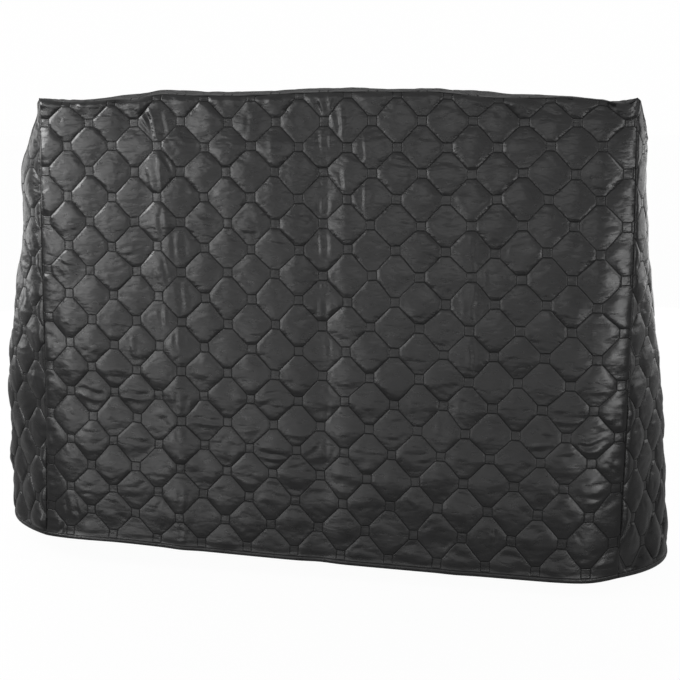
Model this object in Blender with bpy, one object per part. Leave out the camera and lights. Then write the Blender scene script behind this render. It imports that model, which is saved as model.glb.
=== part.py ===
"""Quilted cover for an upright piano, hanging over the piano that it hides.

The cover is a hollow box of cloth with no floor: a top panel that lies on the piano's lid, and front,
back and two side panels sewn round its rim. A side panel is cut wider at its hem than the space it hangs
across, so it bellies outwards, and its seam with the front softens from a corner into a curve on the way
down. Metres, +Z up. The origin lies on the piano's lid, midway along it, so the cloth's underside meets
z = 0 at the rim. The front faces -Y and the piano's length runs along X.
"""

import math
from functools import lru_cache
from typing import NamedTuple

import bmesh
import bpy
import numpy as np
from mathutils import Vector

# ---------------------------------------------------------------- driving dimensions
WIDTH = 1.50  # between the two front seams
TOP_DEPTH = 0.38  # lid, front to back
DROP = 1.150  # wall cloth from the top seam to the hem
SHEET = 0.003  # quilted cloth
HEM_WIDTH = 0.012  # turned edge
HEM_SHEET = 0.0042  # cloth and its turning
SEAM_TRIM = 0.0004  # each panel stops this short of the seam line
FRONT_LEAN = math.radians(6.0)  # front wall, bottom outwards
BACK_LEAN = math.radians(0.5)
TOP_SKEW = 0.055  # how far the back of the cover sits to the left of its front, at the rim
HEM_SKEW = 0.075  # and at the hem
CROWN = 0.021  # loose rise of the top panel over the middle of the lid
CROWN_ALONG = 2.5  # a higher power keeps the rise level further towards the rim
CROWN_OVER = 3.0
CURL_REACH = 0.17  # stretch of front cloth that turns back towards a side seam
CORNER_FADE = 0.16  # drop over which an uneven rim or hem smooths out, as a share of the wall
FOLD_MARGIN = 0.05  # share of the width, at each seam, over which a packing crease dies out
DROOP_POWER = 4  # how late on its way down a side panel starts to droop
SHARP_EDGE = math.radians(50.0)

# Grid of each panel: columns across, rows down. The walls share their rows, so their seams match.
WALL_ROWS = 20
ROW_CROWDING = 1.3  # above 1, rows stand closer towards the rim, where the shape changes fastest
FRONT_COLUMNS = 40
BACK_COLUMNS = 24
SIDE_COLUMNS = 14
TOP_GRID = (40, 6)
SECTION_POINTS = 61  # along one level section of a side panel
SECTION_TRIES = 30  # halvings of the interval that holds the section's handle length


class Seam(NamedTuple):
    """The two front seams at one share of the drop: where they hang and how far the cloth turns back."""

    drop: float
    left_in: float  # left seam's distance inside the rim corner
    right_out: float  # right seam's distance outside the rim corner
    left_curl: float
    right_curl: float


class Side(NamedTuple):
    """A side panel at one share of the drop."""

    drop: float
    front_angle: float  # degrees by which the cloth leaves the front seam, outwards from the chord
    back_angle: float
    slack: float  # cloth beyond the straight distance between the seams


class Edge(NamedTuple):
    """A rise of the front's rim and of its hem at one share of the width."""

    across: float
    rim: float
    hem: float


class Wave(NamedTuple):
    """How far the back's hem stands off at one share of its width."""

    across: float
    off: float


class Fold(NamedTuple):
    """A packing crease of the front, from one edge to the other. Positive stands out from the wall."""

    start: float  # share of the width or of the drop where it begins
    end: float
    height: float
    spread: float  # metres


SEAMS = (
    Seam(0.00, 0.000, 0.000, 0.000, 0.000),
    Seam(0.15, 0.001, 0.001, 0.001, 0.001),
    Seam(0.40, 0.005, 0.003, 0.005, 0.006),
    Seam(0.60, 0.008, 0.001, 0.010, 0.016),
    Seam(0.80, 0.007, -0.004, 0.018, 0.030),
    Seam(1.00, 0.004, -0.010, 0.024, 0.044),
)
LEFT_SIDE = (
    Side(0.00, 30.0, 30.0, 0.000),
    Side(0.04, 40.0, 30.0, 0.010),
    Side(0.09, 50.0, 30.0, 0.026),
    Side(0.16, 54.0, 28.0, 0.047),
    Side(0.27, 50.0, 28.0, 0.044),
    Side(0.45, 46.0, 34.0, 0.076),
    Side(0.70, 45.0, 42.0, 0.104),
    Side(0.85, 46.0, 56.0, 0.116),
    Side(1.00, 49.0, 70.0, 0.122),
)
RIGHT_SIDE = (
    Side(0.00, 30.0, 30.0, 0.000),
    Side(0.04, 38.0, 35.0, 0.010),
    Side(0.09, 42.0, 45.0, 0.018),
    Side(0.16, 43.0, 50.0, 0.021),
    Side(0.27, 41.0, 60.0, 0.027),
    Side(0.45, 36.0, 55.0, 0.048),
    Side(0.70, 37.0, 60.0, 0.088),
    Side(0.85, 41.0, 65.0, 0.108),
    Side(1.00, 47.0, 65.0, 0.124),
)
EDGES = (
    Edge(0.00, 0.001, 0.005),
    Edge(0.05, -0.008, 0.008),
    Edge(0.12, -0.001, 0.009),
    Edge(0.25, 0.001, 0.002),
    Edge(0.50, 0.000, -0.008),
    Edge(0.75, 0.000, -0.014),
    Edge(0.90, -0.003, -0.015),
    Edge(0.965, -0.017, -0.018),
    Edge(1.00, -0.008, -0.012),
)
BACK_WAVES = (
    Wave(0.00, 0.000),
    Wave(0.11, 0.009),
    Wave(0.24, 0.002),
    Wave(0.41, 0.008),
    Wave(0.55, -0.001),
    Wave(0.73, 0.006),
    Wave(0.88, 0.000),
    Wave(1.00, 0.000),
)
UPRIGHT_FOLDS = (
    Fold(0.213, 0.262, 0.005, 0.035),
    Fold(0.497, 0.505, -0.006, 0.040),
    Fold(0.741, 0.735, 0.003, 0.035),
)
LEVEL_FOLDS = (
    Fold(0.26, 0.33, 0.003, 0.035),
    Fold(0.68, 0.69, -0.004, 0.040),
)
# How far the hem of a side panel's belly hangs below its seams.
SIDE_HEM_DROOP = {"left_side_panel": 0.006, "right_side_panel": 0.022}

CLOTH_COLOUR = (0.040, 0.040, 0.041, 1.0)
CLOTH_ROUGHNESS = 0.42


# ---------------------------------------------------------------- reading the tables
def eased(rows, column, at):
    """Value of one column at `at`, on a smooth curve through the rows. The first column is the position."""
    xs = [row[0] for row in rows]
    ys = [getattr(row, column) for row in rows]
    k = min(max(sum(x <= at for x in xs) - 1, 0), len(xs) - 2)
    slopes = np.gradient(ys, xs)
    span = xs[k + 1] - xs[k]
    t = (at - xs[k]) / span
    start = (1 + 2 * t) * (1 - t) ** 2 * ys[k] + t * (1 - t) ** 2 * span * slopes[k]
    end = t * t * (3 - 2 * t) * ys[k + 1] - t * t * (1 - t) * span * slopes[k + 1]
    return start + end


def lerp(start, end, share):
    return start + (end - start) * share


# ---------------------------------------------------------------- front, back and top
def fold_height(across, drop):
    """How far the packing creases lift the front wall at a point."""
    upright = sum(
        fold.height * math.exp(-(((across - lerp(fold.start, fold.end, drop)) * WIDTH / fold.spread) ** 2))
        for fold in UPRIGHT_FOLDS
    )
    level = sum(
        fold.height * math.exp(-(((drop - lerp(fold.start, fold.end, across)) * DROP / fold.spread) ** 2))
        for fold in LEVEL_FOLDS
    )
    fade = min(1.0, drop / CORNER_FADE) * min(1.0, across / FOLD_MARGIN, (1 - across) / FOLD_MARGIN)
    return (upright + level) * fade


def front_point(across, drop):
    """Outer face of the front. `across` runs from the left seam to the right, `drop` from rim to hem."""
    left = -WIDTH / 2 + eased(SEAMS, "left_in", drop)
    right = WIDTH / 2 + eased(SEAMS, "right_out", drop)
    near_left = max(0.0, 1 - across * WIDTH / CURL_REACH)
    near_right = max(0.0, 1 - (1 - across) * WIDTH / CURL_REACH)
    curl = eased(SEAMS, "left_curl", drop) * near_left**2 + eased(SEAMS, "right_curl", drop) * near_right**2
    rim = eased(EDGES, "rim", across) * max(0.0, 1 - drop / CORNER_FADE)
    hem = eased(EDGES, "hem", across) * max(0.0, 1 - (1 - drop) / CORNER_FADE)
    return Vector(
        (
            lerp(left, right, across),
            -TOP_DEPTH / 2 - DROP * math.sin(FRONT_LEAN) * drop + curl - fold_height(across, drop),
            SHEET - DROP * math.cos(FRONT_LEAN) * drop + rim + hem,
        )
    )


def back_point(across, drop):
    """Outer face of the back. `across` runs from its right seam, beside +X, to its left one."""
    skew = lerp(TOP_SKEW, HEM_SKEW, drop)
    return Vector(
        (
            lerp(WIDTH / 2, -WIDTH / 2, across) - skew,
            TOP_DEPTH / 2 + DROP * math.sin(BACK_LEAN) * drop + eased(BACK_WAVES, "off", across) * drop,
            SHEET - DROP * math.cos(BACK_LEAN) * drop,
        )
    )


def top_point(across, back):
    """Outer face of the top. `across` runs left to right and `back` from the front rim to the back one."""
    point = front_point(across, 0.0).lerp(back_point(1 - across, 0.0), back)
    along = 1 - abs(2 * across - 1) ** CROWN_ALONG
    over = 1 - abs(2 * back - 1) ** CROWN_OVER
    return point + Vector((0.0, 0.0, CROWN * along * over))


# ---------------------------------------------------------------- sides
def bent(start, end, lead_out, lead_in, reach, share):
    """Point of a cubic curve that leaves `start` along `lead_out` and meets `end` against `lead_in`."""
    one, two = start + lead_out * reach, end + lead_in * reach
    rest = 1 - share
    return start * rest**3 + one * (3 * rest**2 * share) + two * (3 * rest * share**2) + end * share**3


def side_seams(name, drop):
    """A side panel's front and back seam points at one drop."""
    if name == "left_side_panel":
        return front_point(0.0, drop), back_point(1.0, drop)
    return front_point(1.0, drop), back_point(0.0, drop)


@lru_cache(maxsize=None)
def side_section(name, drop):
    """A side panel's level section at one drop: points evenly spaced along cloth of its true width."""
    rows, outwards = (LEFT_SIDE, -1.0) if name == "left_side_panel" else (RIGHT_SIDE, 1.0)
    start, end = side_seams(name, drop)
    chord = end - start
    level = Vector((chord.x, chord.y, 0.0)).normalized()
    out = Vector((level.y, -level.x, 0.0)) * outwards
    front, back = (math.radians(eased(rows, angle, drop)) for angle in ("front_angle", "back_angle"))
    lead_out = level * math.cos(front) + out * math.sin(front)
    lead_in = out * math.sin(back) - level * math.cos(back)
    cloth = chord.length + max(0.0, eased(rows, "slack", drop))
    shares = np.linspace(0.0, 1.0, SECTION_POINTS)
    short, long = 0.0, cloth
    for _ in range(SECTION_TRIES):
        reach = (short + long) / 2
        points = np.array([bent(start, end, lead_out, lead_in, reach, t) for t in shares])
        lengths = np.append(0.0, np.cumsum(np.linalg.norm(np.diff(points, axis=0), axis=1)))
        short, long = (reach, long) if lengths[-1] < cloth else (short, reach)
    return points, lengths / lengths[-1]


def side_point(name, along, drop):
    """Outer face of a side panel. `along` runs from its front seam to its back one."""
    points, shares = side_section(name, drop)
    x, y, z = (np.interp(along, shares, points[:, axis]) for axis in range(3))
    droop = SIDE_HEM_DROOP[name] * math.sin(math.pi * along) * drop**DROOP_POWER
    return Vector((x, y, z - droop))


def right_point(across, drop):
    return side_point("right_side_panel", across, drop)


def left_point(across, drop):
    return side_point("left_side_panel", 1 - across, drop)


# ---------------------------------------------------------------- cloth thickness and seams
# Seen from above the walls follow each other anticlockwise: each one's last column meets the next
# one's first.
WALLS = (front_point, right_point, back_point, left_point)
STEP = 1e-4  # share of a panel between the points that give its slope


def facing(place, u, v, sign):
    """Unit outward normal of a surface at (u, v)."""
    u = min(max(u, STEP), 1 - STEP)
    v = min(max(v, STEP), 1 - STEP)
    along = place(u + STEP, v) - place(u - STEP, v)
    down = place(u, v + STEP) - place(u, v - STEP)
    return sign * along.cross(down).normalized()


def inward(normals, thickness):
    """Step from an outer point to the inner one that lies `thickness` under every face that meets there."""
    step = np.linalg.lstsq(np.array(normals), np.full(len(normals), -thickness), rcond=None)[0]
    return Vector(step)


def rim_of(index, u):
    """Where a wall's rim point lies on the top panel, as (across, back)."""
    return ((u, 0.0), (1.0, u), (1 - u, 1.0), (0.0, 1 - u))[index]


def wall_layers(index, u, v):
    """Outer and inner point of a wall. Its seams are mitred with the panels that it is sewn to."""
    place, trim = WALLS[index], SEAM_TRIM / DROP
    normals = [facing(place, u, v, -1)]
    if u == 0.0:
        normals.append(facing(WALLS[index - 1], 1.0, v, -1))
    if u == 1.0:
        normals.append(facing(WALLS[(index + 1) % 4], 0.0, v, -1))
    if v == 0.0:
        normals.append(facing(top_point, *rim_of(index, u), 1))
    across = SEAM_TRIM / (WIDTH if index in (0, 2) else TOP_DEPTH)
    outer = place(min(max(u, across), 1 - across), max(v, trim))
    thickness = SHEET if v < 1 - HEM_WIDTH / DROP else HEM_SHEET
    return outer, outer + inward(normals, thickness)


def walls_meeting(across, back):
    """The walls whose rim passes through a point of the top, each with the point's place along it."""
    if back == 0.0:
        yield 0, across
    if across == 1.0:
        yield 1, back
    if back == 1.0:
        yield 2, 1 - across
    if across == 0.0:
        yield 3, 1 - back


def top_layers(across, back):
    """Outer and inner point of the top, mitred with the walls."""
    normals = [facing(top_point, across, back, 1)]
    normals += [facing(WALLS[index], u, 0.0, -1) for index, u in walls_meeting(across, back)]
    trim_x, trim_y = SEAM_TRIM / WIDTH, SEAM_TRIM / TOP_DEPTH
    outer = top_point(min(max(across, trim_x), 1 - trim_x), min(max(back, trim_y), 1 - trim_y))
    return outer, outer + inward(normals, SHEET)


def drop_of_row(row, rows):
    """Share of the drop at a row of the grid. The last row of faces is the hem."""
    return 1.0 if row == rows else (1 - HEM_WIDTH / DROP) * (row / (rows - 1)) ** ROW_CROWDING


# ---------------------------------------------------------------- objects
def cloth_material(name):
    material = bpy.data.materials.new(name)
    material.use_nodes = True
    satin = material.node_tree.nodes["Principled BSDF"]
    satin.inputs["Base Color"].default_value = CLOTH_COLOUR
    satin.inputs["Roughness"].default_value = CLOTH_ROUGHNESS
    satin.inputs["Metallic"].default_value = 0.0
    return material


def add_panel(name, grid, layers, centre, cover, parent):
    """A closed sheet of cloth: a flat grid doubled into two layers, each vertex then moved to its place."""
    columns, rows = grid
    bm = bmesh.new()
    bmesh.ops.create_grid(bm, x_segments=columns, y_segments=rows, size=0.5)
    doubled = bmesh.ops.extrude_face_region(bm, geom=bm.faces[:], use_keep_orig=True)
    inner = {item for item in doubled["geom"] if isinstance(item, bmesh.types.BMVert)}
    for vertex in bm.verts:
        column = round((vertex.co.x + 0.5) * columns)
        row = round((0.5 - vertex.co.y) * rows)
        vertex.co = layers(column, row, columns, rows)[vertex in inner] - centre
    bmesh.ops.recalc_face_normals(bm, faces=bm.faces)
    mesh = bpy.data.meshes.new(name)
    bm.to_mesh(mesh)
    bm.free()
    mesh.shade_smooth()
    mesh.set_sharp_from_angle(angle=SHARP_EDGE)
    panel = bpy.data.objects.new(name, mesh)
    panel.location = centre
    panel.parent = parent
    panel.data.materials.append(cloth_material(f"{name}_satin"))
    cover.objects.link(panel)


def wall(index):
    def layers(column, row, columns, rows):
        return wall_layers(index, column / columns, drop_of_row(row, rows))

    return layers


def top(column, row, columns, rows):
    return top_layers(column / columns, 1 - row / rows)


def main():
    for item in list(bpy.data.objects):
        bpy.data.objects.remove(item, do_unlink=True)
    cover = bpy.data.collections.new("piano_cover")
    bpy.context.scene.collection.children.link(cover)
    lid = bpy.data.objects.new("lid_centre", None)
    cover.objects.link(lid)
    half_width, half_depth = WIDTH / 2, TOP_DEPTH / 2
    add_panel("front_panel", (FRONT_COLUMNS, WALL_ROWS), wall(0), Vector((0, -half_depth, 0)), cover, lid)
    add_panel("right_side_panel", (SIDE_COLUMNS, WALL_ROWS), wall(1), Vector((half_width, 0, 0)), cover, lid)
    add_panel("back_panel", (BACK_COLUMNS, WALL_ROWS), wall(2), Vector((0, half_depth, 0)), cover, lid)
    add_panel("left_side_panel", (SIDE_COLUMNS, WALL_ROWS), wall(3), Vector((-half_width, 0, 0)), cover, lid)
    add_panel("top_panel", TOP_GRID, top, Vector((0, 0, 0)), cover, lid)


if __name__ == "__main__":
    main()
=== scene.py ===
"""Finished look of a quilted satin cover for an upright piano.

Each panel is cut from quilted cloth as a flat sheet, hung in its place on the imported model's frame, and
dressed with the puffs, stitched grooves, packing creases and crumples of the real one. Metres, +Z up.
"""

import logging
import math
from dataclasses import dataclass
from enum import Enum
from functools import cached_property
from typing import Callable, ClassVar, Iterable, Union

import bmesh
import bpy
import numpy as np
from mathutils import Matrix, Vector


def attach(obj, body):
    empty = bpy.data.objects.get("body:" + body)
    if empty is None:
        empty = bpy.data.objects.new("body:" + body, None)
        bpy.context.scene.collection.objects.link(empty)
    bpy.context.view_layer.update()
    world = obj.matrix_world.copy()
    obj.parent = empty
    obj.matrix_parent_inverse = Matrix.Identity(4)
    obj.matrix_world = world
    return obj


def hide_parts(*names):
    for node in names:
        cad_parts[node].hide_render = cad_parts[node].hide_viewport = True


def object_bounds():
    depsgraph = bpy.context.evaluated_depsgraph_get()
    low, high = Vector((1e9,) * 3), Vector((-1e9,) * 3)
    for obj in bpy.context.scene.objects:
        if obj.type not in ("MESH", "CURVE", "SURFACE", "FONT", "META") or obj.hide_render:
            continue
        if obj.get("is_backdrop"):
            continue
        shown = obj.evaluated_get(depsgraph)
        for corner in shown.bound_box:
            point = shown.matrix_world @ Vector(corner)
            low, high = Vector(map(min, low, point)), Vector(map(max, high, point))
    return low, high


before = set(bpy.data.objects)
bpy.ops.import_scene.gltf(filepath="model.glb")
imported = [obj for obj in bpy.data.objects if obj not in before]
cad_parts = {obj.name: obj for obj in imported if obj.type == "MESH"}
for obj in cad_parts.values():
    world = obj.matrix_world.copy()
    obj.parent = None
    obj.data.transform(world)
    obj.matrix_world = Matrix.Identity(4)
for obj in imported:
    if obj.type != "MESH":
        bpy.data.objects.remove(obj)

LOG = logging.getLogger("piano_cover")
Array = np.ndarray
Number = Union[int, float]
Pair = tuple[float, float]
Place = tuple[float, float, float]
Colour = tuple[float, float, float, float]
Surface = Callable[[Array, Array], Array]
WHITE: Colour = (1.0, 1.0, 1.0, 1.0)
BLACK: Colour = (0.0, 0.0, 0.0, 1.0)


# ================================================================ small tools
def smooth(low: float, high: float, where: Array) -> Array:
    """A soft step from 0 at `low` to 1 at `high`."""
    t = np.clip((where - low) / (high - low), 0.0, 1.0)
    return t * t * (3 - 2 * t)


def bell(distance: Array, width: float) -> Array:
    """A rounded ridge one unit high, `width` wide each way."""
    return np.exp(-((distance / width) ** 2))


def fading(distance: Array, reach: float) -> Array:
    """Falls evenly from 1 at no distance to 0 at `reach`."""
    return np.maximum(0.0, 1 - distance / reach)


def unit(vectors: Array) -> Array:
    """Each row scaled to length one."""
    return vectors / np.linalg.norm(vectors, axis=1, keepdims=True)


def facing(surface: Surface, outward: float, u: Array, v: Array) -> Array:
    """Unit outward normals of a surface.

    Args:
        surface: Points at shares of the width and the length.
        outward: 1 or -1, which way is out.
        u: Shares of the width.
        v: Shares of the length.

    Returns:
        One normal a row.
    """
    step = 1e-3
    u, v = np.clip(u, step, 1 - step), np.clip(v, step, 1 - step)
    along = surface(u + step, v) - surface(u - step, v)
    down = surface(u, v + step) - surface(u, v - step)
    return unit(np.cross(along, down)) * outward


@dataclass(frozen=True)
class Table:
    """Rows of numbers under named columns, the first of them the position."""

    names: str
    rows: tuple[tuple[float, ...], ...]

    def read(self, name: str, where: Array) -> Array:
        """Reads a column on a smooth curve through its rows.

        Args:
            name: Column to read.
            where: Positions to read.

        Returns:
            The value at each position.
        """
        table = np.array(self.rows, float)
        xs, ys = table[:, 0], table[:, self.names.split().index(name)]
        slopes = np.gradient(ys, xs)
        row = np.clip(np.searchsorted(xs, where, side="right") - 1, 0, len(xs) - 2)
        span = xs[row + 1] - xs[row]
        t = (where - xs[row]) / span
        start = (1 + 2 * t) * (1 - t) ** 2 * ys[row] + t * (1 - t) ** 2 * span * slopes[row]
        end = t * t * (3 - 2 * t) * ys[row + 1] - t * t * (1 - t) * span * slopes[row + 1]
        return start + end


@dataclass(frozen=True)
class Fold:
    """A broad packing fold of the front, from one edge to the other. Positive stands out."""

    start: float
    end: float
    height: float
    spread: float


@dataclass(frozen=True)
class Crease:
    """A crease in cloth coordinates, in metres from the panel's left edge and below its rim.

    A positive height is a ridge between two hollows, a negative one a furrow between two swells.
    """

    x0: float
    y0: float
    x1: float
    y1: float
    height: float
    width: float
    bow: float = 0.0
    shoulder: ClassVar[float] = 0.38
    shoulder_off: ClassVar[float] = 2.1
    shoulder_width: ClassVar[float] = 1.4
    strength: ClassVar[float] = 0.66
    widening: ClassVar[float] = 1.15
    reach: ClassVar[float] = 4.0

    @classmethod
    def from_table(cls, groups: dict[Pair, tuple[tuple[float, ...], ...]]) -> tuple["Crease", ...]:
        """Makes creases of groups of rows in millimetres.

        Args:
            groups: Under each height and half-width, rows of two ends and, where it is not 0, the bow.

        Returns:
            The creases.
        """
        rows = [(*row[:4], *pair, *row[4:]) for pair, group in groups.items() for row in group]
        return tuple(cls(*(value / 1000 for value in row)) for row in rows)

    @property
    def length(self) -> float:
        """Distance between its ends."""
        return math.hypot(self.x1 - self.x0, self.y1 - self.y0)

    def near(self, x: Array, y: Array) -> Array:
        """Finds the places that the crease can reach.

        Args:
            x: Metres from the panel's left edge.
            y: Metres below its rim.

        Returns:
            True where it can.
        """
        margin = self.reach * self.width + abs(self.bow)
        across = (x > min(self.x0, self.x1) - margin) & (x < max(self.x0, self.x1) + margin)
        return across & (y > min(self.y0, self.y1) - margin) & (y < max(self.y0, self.y1) + margin)

    def lift(self, x: Array, y: Array) -> Array:
        """Height that the crease adds.

        Args:
            x: Metres from the panel's left edge.
            y: Metres below its rim.

        Returns:
            Heights in metres.
        """
        run_x, run_y = (self.x1 - self.x0) / self.length, (self.y1 - self.y0) / self.length
        along = (x - self.x0) * run_x + (y - self.y0) * run_y
        share = np.clip(along / self.length, 0.0, 1.0)
        arch = 4 * share * (1 - share)
        off = (y - self.y0) * run_x - (x - self.x0) * run_y - self.bow * arch
        aside, wide = self.shoulder_off * self.width, self.shoulder_width * self.width
        sides = bell(off - aside, wide) + bell(off + aside, wide)
        profile = bell(off, self.width * self.widening) - self.shoulder * sides
        return self.height * self.strength * np.sqrt(arch) * profile


# ================================================================ how the cloth hangs
@dataclass(frozen=True)
class CoverShape:
    """Sizes of the hanging cover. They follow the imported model's, with a finer rim and hem.

    Folds and waves stand off the walls, and skews shift the back to the left, in metres.
    """

    width: float = 1.50
    top_depth: float = 0.38
    drop: float = 1.150
    sheet: float = 0.003
    front_lean: float = math.radians(6.0)
    back_lean: float = math.radians(0.5)
    top_skew: float = 0.055
    hem_skew: float = 0.075
    rim_up: float = 0.007
    rim_fade: float = 0.085
    crown_over: float = 3.0
    curl_reach: float = 0.17
    roll_reach: float = 0.090
    corner_fade: float = 0.16
    fold_margin: float = 0.05
    droop_power: float = 4.0
    seams: Table = Table("drop left_in right_out left_curl right_curl", (
        (0.00, 0.000, 0.000, 0.000, 0.000),
        (0.15, 0.001, 0.001, 0.001, 0.001),
        (0.40, 0.005, 0.003, 0.005, 0.006),
        (0.60, 0.008, 0.001, 0.010, 0.016),
        (0.80, 0.007, -0.004, 0.018, 0.030),
        (1.00, 0.004, -0.010, 0.024, 0.044),
    ))
    rolls: Table = Table("drop left_curl right_curl", (
        (0.00, 0.008, 0.008), (0.15, 0.009, 0.015), (0.40, 0.008, 0.017), (0.70, 0.007, 0.015),
        (1.00, 0.006, 0.006),
    ))
    rims: Table = Table("across front rear crown", (
        (0.000, -0.0060, -0.0110, 0.0000),
        (0.050, -0.0170, -0.0110, 0.0030),
        (0.090, -0.0150, -0.0070, 0.0050),
        (0.130, -0.0130, -0.0030, 0.0090),
        (0.177, -0.0120, -0.0010, 0.0140),
        (0.200, -0.0030, 0.0000, 0.0135),
        (0.287, -0.0025, 0.0000, 0.0090),
        (0.373, -0.0035, 0.0000, 0.0100),
        (0.457, 0.0015, 0.0000, 0.0120),
        (0.540, 0.0040, 0.0000, 0.0125),
        (0.625, 0.0030, 0.0000, 0.0085),
        (0.690, 0.0015, 0.0000, 0.0100),
        (0.730, -0.0050, -0.0010, 0.0095),
        (0.770, -0.0120, -0.0030, 0.0110),
        (0.800, -0.0130, -0.0050, 0.0070),
        (0.850, -0.0135, -0.0090, 0.0060),
        (0.900, -0.0135, -0.0140, 0.0025),
        (0.945, -0.0205, -0.0185, 0.0015),
        (0.984, -0.0260, -0.0220, 0.0000),
        (1.000, -0.0150, -0.0230, 0.0000),
    ))
    hems: Table = Table("across rise", (
        (0.00, 0.005), (0.05, 0.008), (0.12, 0.009), (0.25, 0.002), (0.50, -0.009), (0.75, -0.017),
        (0.90, -0.020), (0.965, -0.021), (1.00, -0.016),
    ))
    back_waves: Table = Table("across off", (
        (0.00, 0.000), (0.11, 0.009), (0.24, 0.002), (0.41, 0.008), (0.55, -0.001), (0.73, 0.006),
        (0.88, 0.000), (1.00, 0.000),
    ))
    upright_folds: tuple[Fold, ...] = (
        Fold(0.213, 0.262, 0.005, 0.035),
        Fold(0.497, 0.505, -0.006, 0.040),
        Fold(0.741, 0.735, 0.003, 0.035),
    )
    level_folds: tuple[Fold, ...] = (
        Fold(0.26, 0.33, 0.002, 0.035),
        Fold(0.68, 0.69, -0.0018, 0.040),
    )

    @property
    def front_drop(self) -> float:
        """Length of the front panel, which turns a little over the lid's edge."""
        return self.drop + self.rim_up

    def fold_height(self, across: Array, drop: Array) -> Array:
        """How far the broad folds lift the front wall.

        Args:
            across: Share of the width from the left seam.
            drop: Share of the drop from the rim.

        Returns:
            Heights in metres.
        """
        total = np.zeros_like(across)
        upright = (self.upright_folds, across, drop, self.width)
        level = (self.level_folds, drop, across, self.drop)
        for folds, place, run, length in (upright, level):
            for fold in folds:
                line = fold.start + (fold.end - fold.start) * run
                total += fold.height * bell((place - line) * length, fold.spread)
        margin = np.minimum(across, 1 - across) / self.fold_margin
        return total * np.minimum(1.0, drop / self.corner_fade) * np.clip(margin, 0.0, 1.0)

    def side_curl(self, across: Array, drop: Array) -> Array:
        """How far the front's side edges curl back to their seams.

        Args:
            across: Share of the width from the left seam.
            drop: Share of the drop from the rim.

        Returns:
            Depths in metres.
        """
        curl = np.zeros_like(across)
        for table, reach in ((self.seams, self.curl_reach), (self.rolls, self.roll_reach)):
            for name, gap in (("left_curl", across), ("right_curl", 1 - across)):
                curl += table.read(name, drop) * fading(gap * self.width, reach) ** 2
        return curl

    def front(self, across: Array, drop: Array) -> Array:
        """Outer face of the front.

        Args:
            across: Share of the width from the left seam.
            drop: Share of the drop from the rim.

        Returns:
            One point a row.
        """
        left = -self.width / 2 + self.seams.read("left_in", drop)
        right = self.width / 2 + self.seams.read("right_out", drop)
        rise = self.rims.read("front", across) * fading(drop, self.rim_fade)
        rise += self.hems.read("rise", across) * fading(1 - drop, self.corner_fade)
        y = -self.top_depth / 2 - self.front_drop * math.sin(self.front_lean) * drop
        y += self.side_curl(across, drop) - self.fold_height(across, drop)
        z = self.sheet + self.rim_up - self.front_drop * math.cos(self.front_lean) * drop + rise
        return np.stack([left + (right - left) * across, y, z], axis=1)

    def back(self, across: Array, drop: Array) -> Array:
        """Outer face of the back.

        Args:
            across: Share of the width, from the right seam to the left one.
            drop: Share of the drop from the rim.

        Returns:
            One point a row.
        """
        skew = self.top_skew + (self.hem_skew - self.top_skew) * drop
        x = self.width * (0.5 - across) - skew
        y = self.top_depth / 2 + self.drop * math.sin(self.back_lean) * drop
        y = y + self.back_waves.read("off", across) * drop
        z = self.sheet - self.drop * math.cos(self.back_lean) * drop
        z = z + self.rims.read("rear", 1 - across) * fading(drop, self.corner_fade)
        return np.stack([x, y, z], axis=1)

    def top(self, across: Array, back: Array) -> Array:
        """Outer face of the top.

        Args:
            across: Share of the width from the left.
            back: Share of the depth from the front rim.

        Returns:
            One point a row.
        """
        none = np.zeros_like(across)
        front, rear = self.front(across, none), self.back(1 - across, none)
        points = front + (rear - front) * back[:, None]
        points[:, 2] += self.rims.read("crown", across) * (1 - np.abs(2 * back - 1) ** self.crown_over)
        return points


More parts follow.
